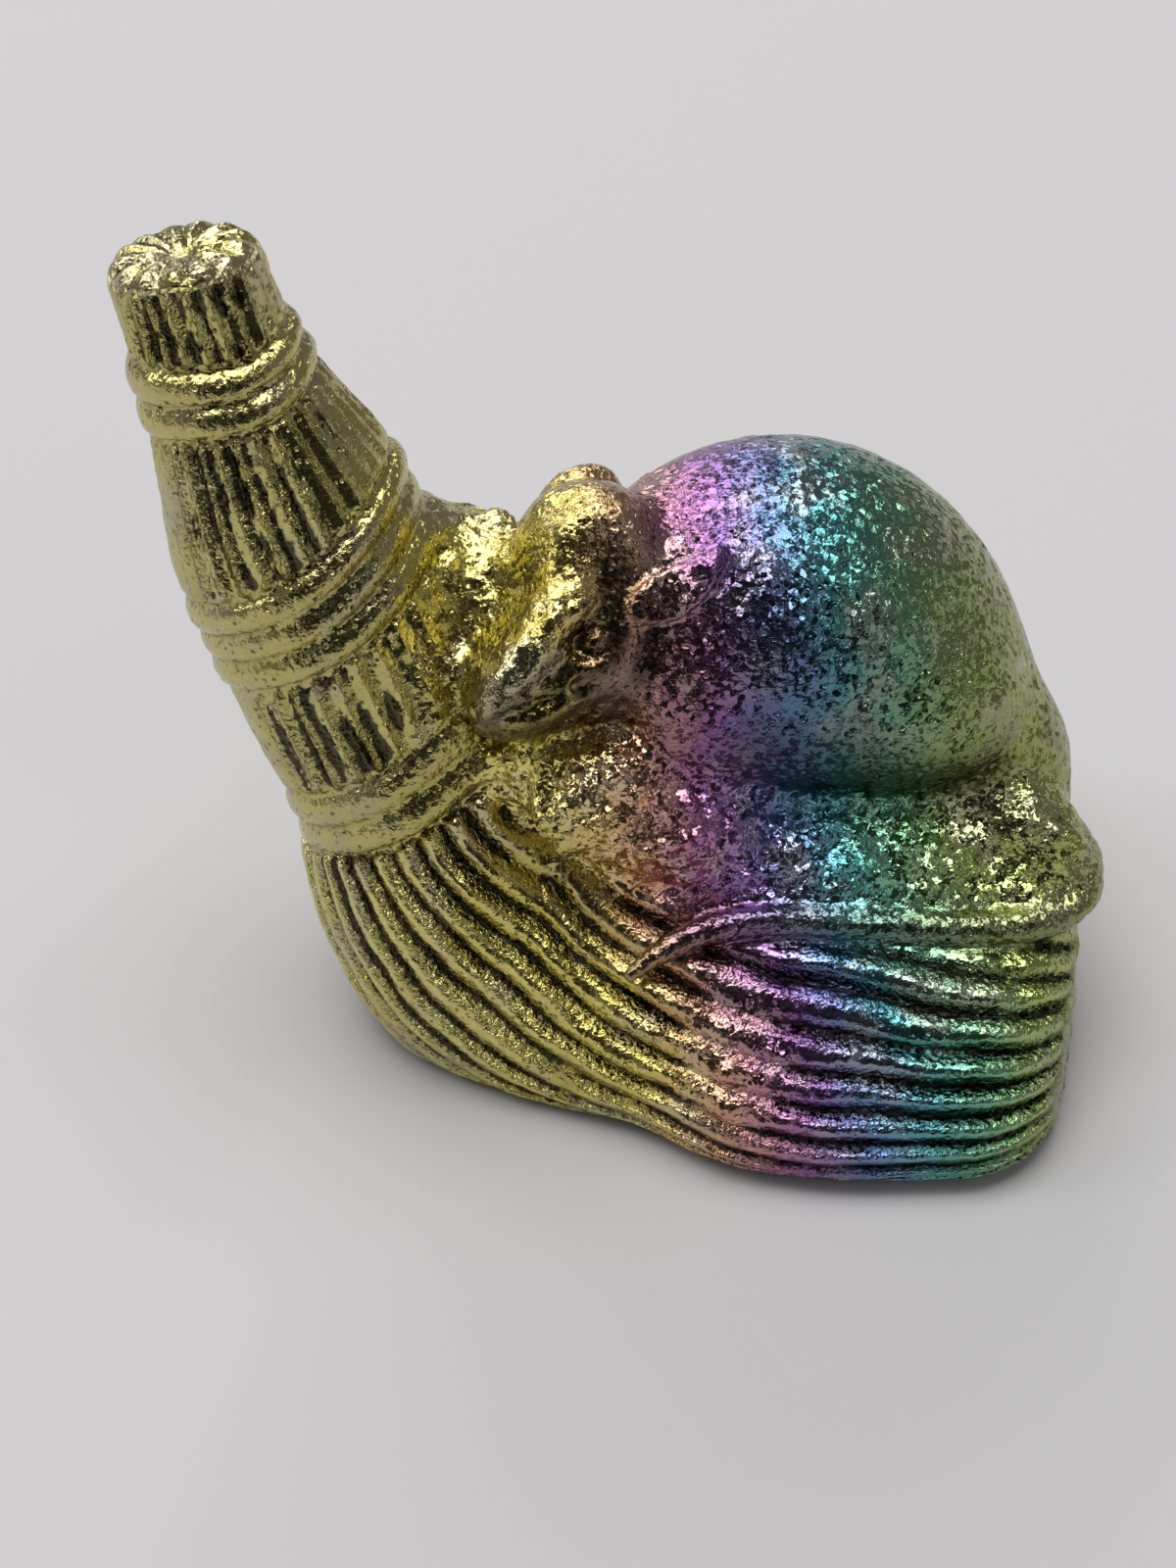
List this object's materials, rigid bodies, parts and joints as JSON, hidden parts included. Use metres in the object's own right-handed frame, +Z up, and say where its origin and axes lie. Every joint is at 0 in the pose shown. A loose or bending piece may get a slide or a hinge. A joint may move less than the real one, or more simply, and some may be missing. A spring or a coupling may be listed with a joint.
{
  "type": "cast bismuth figurine of a rat on a hand broom",
  "caption": "Small solid metal figurine with a rainbow oxide skin: a rat crouches on the fanned head of a tied hand broom whose handle slopes up beside its nose.",
  "frame": {"origin": "middle of the overall box, on the surface that the figurine stands on", "axes": "+Z up, +X along the broom's head from the handle towards the bristle tips, +Y towards the far side of the rat"},
  "size_m": [0.0486, 0.0366, 0.0453],
  "materials": {
    "oxidised_bismuth": "bismuth casting with a thin oxide film: yellow gold on the broom's handle and the rat's head, turning through pink, purple, blue and teal to green towards the bristle tips; lightly hammered and pitted, dark in the grooves"
  },
  "bodies": {
    "root": {"rat_on_broom": "oxidised_bismuth"}
  },
  "joints": []
}
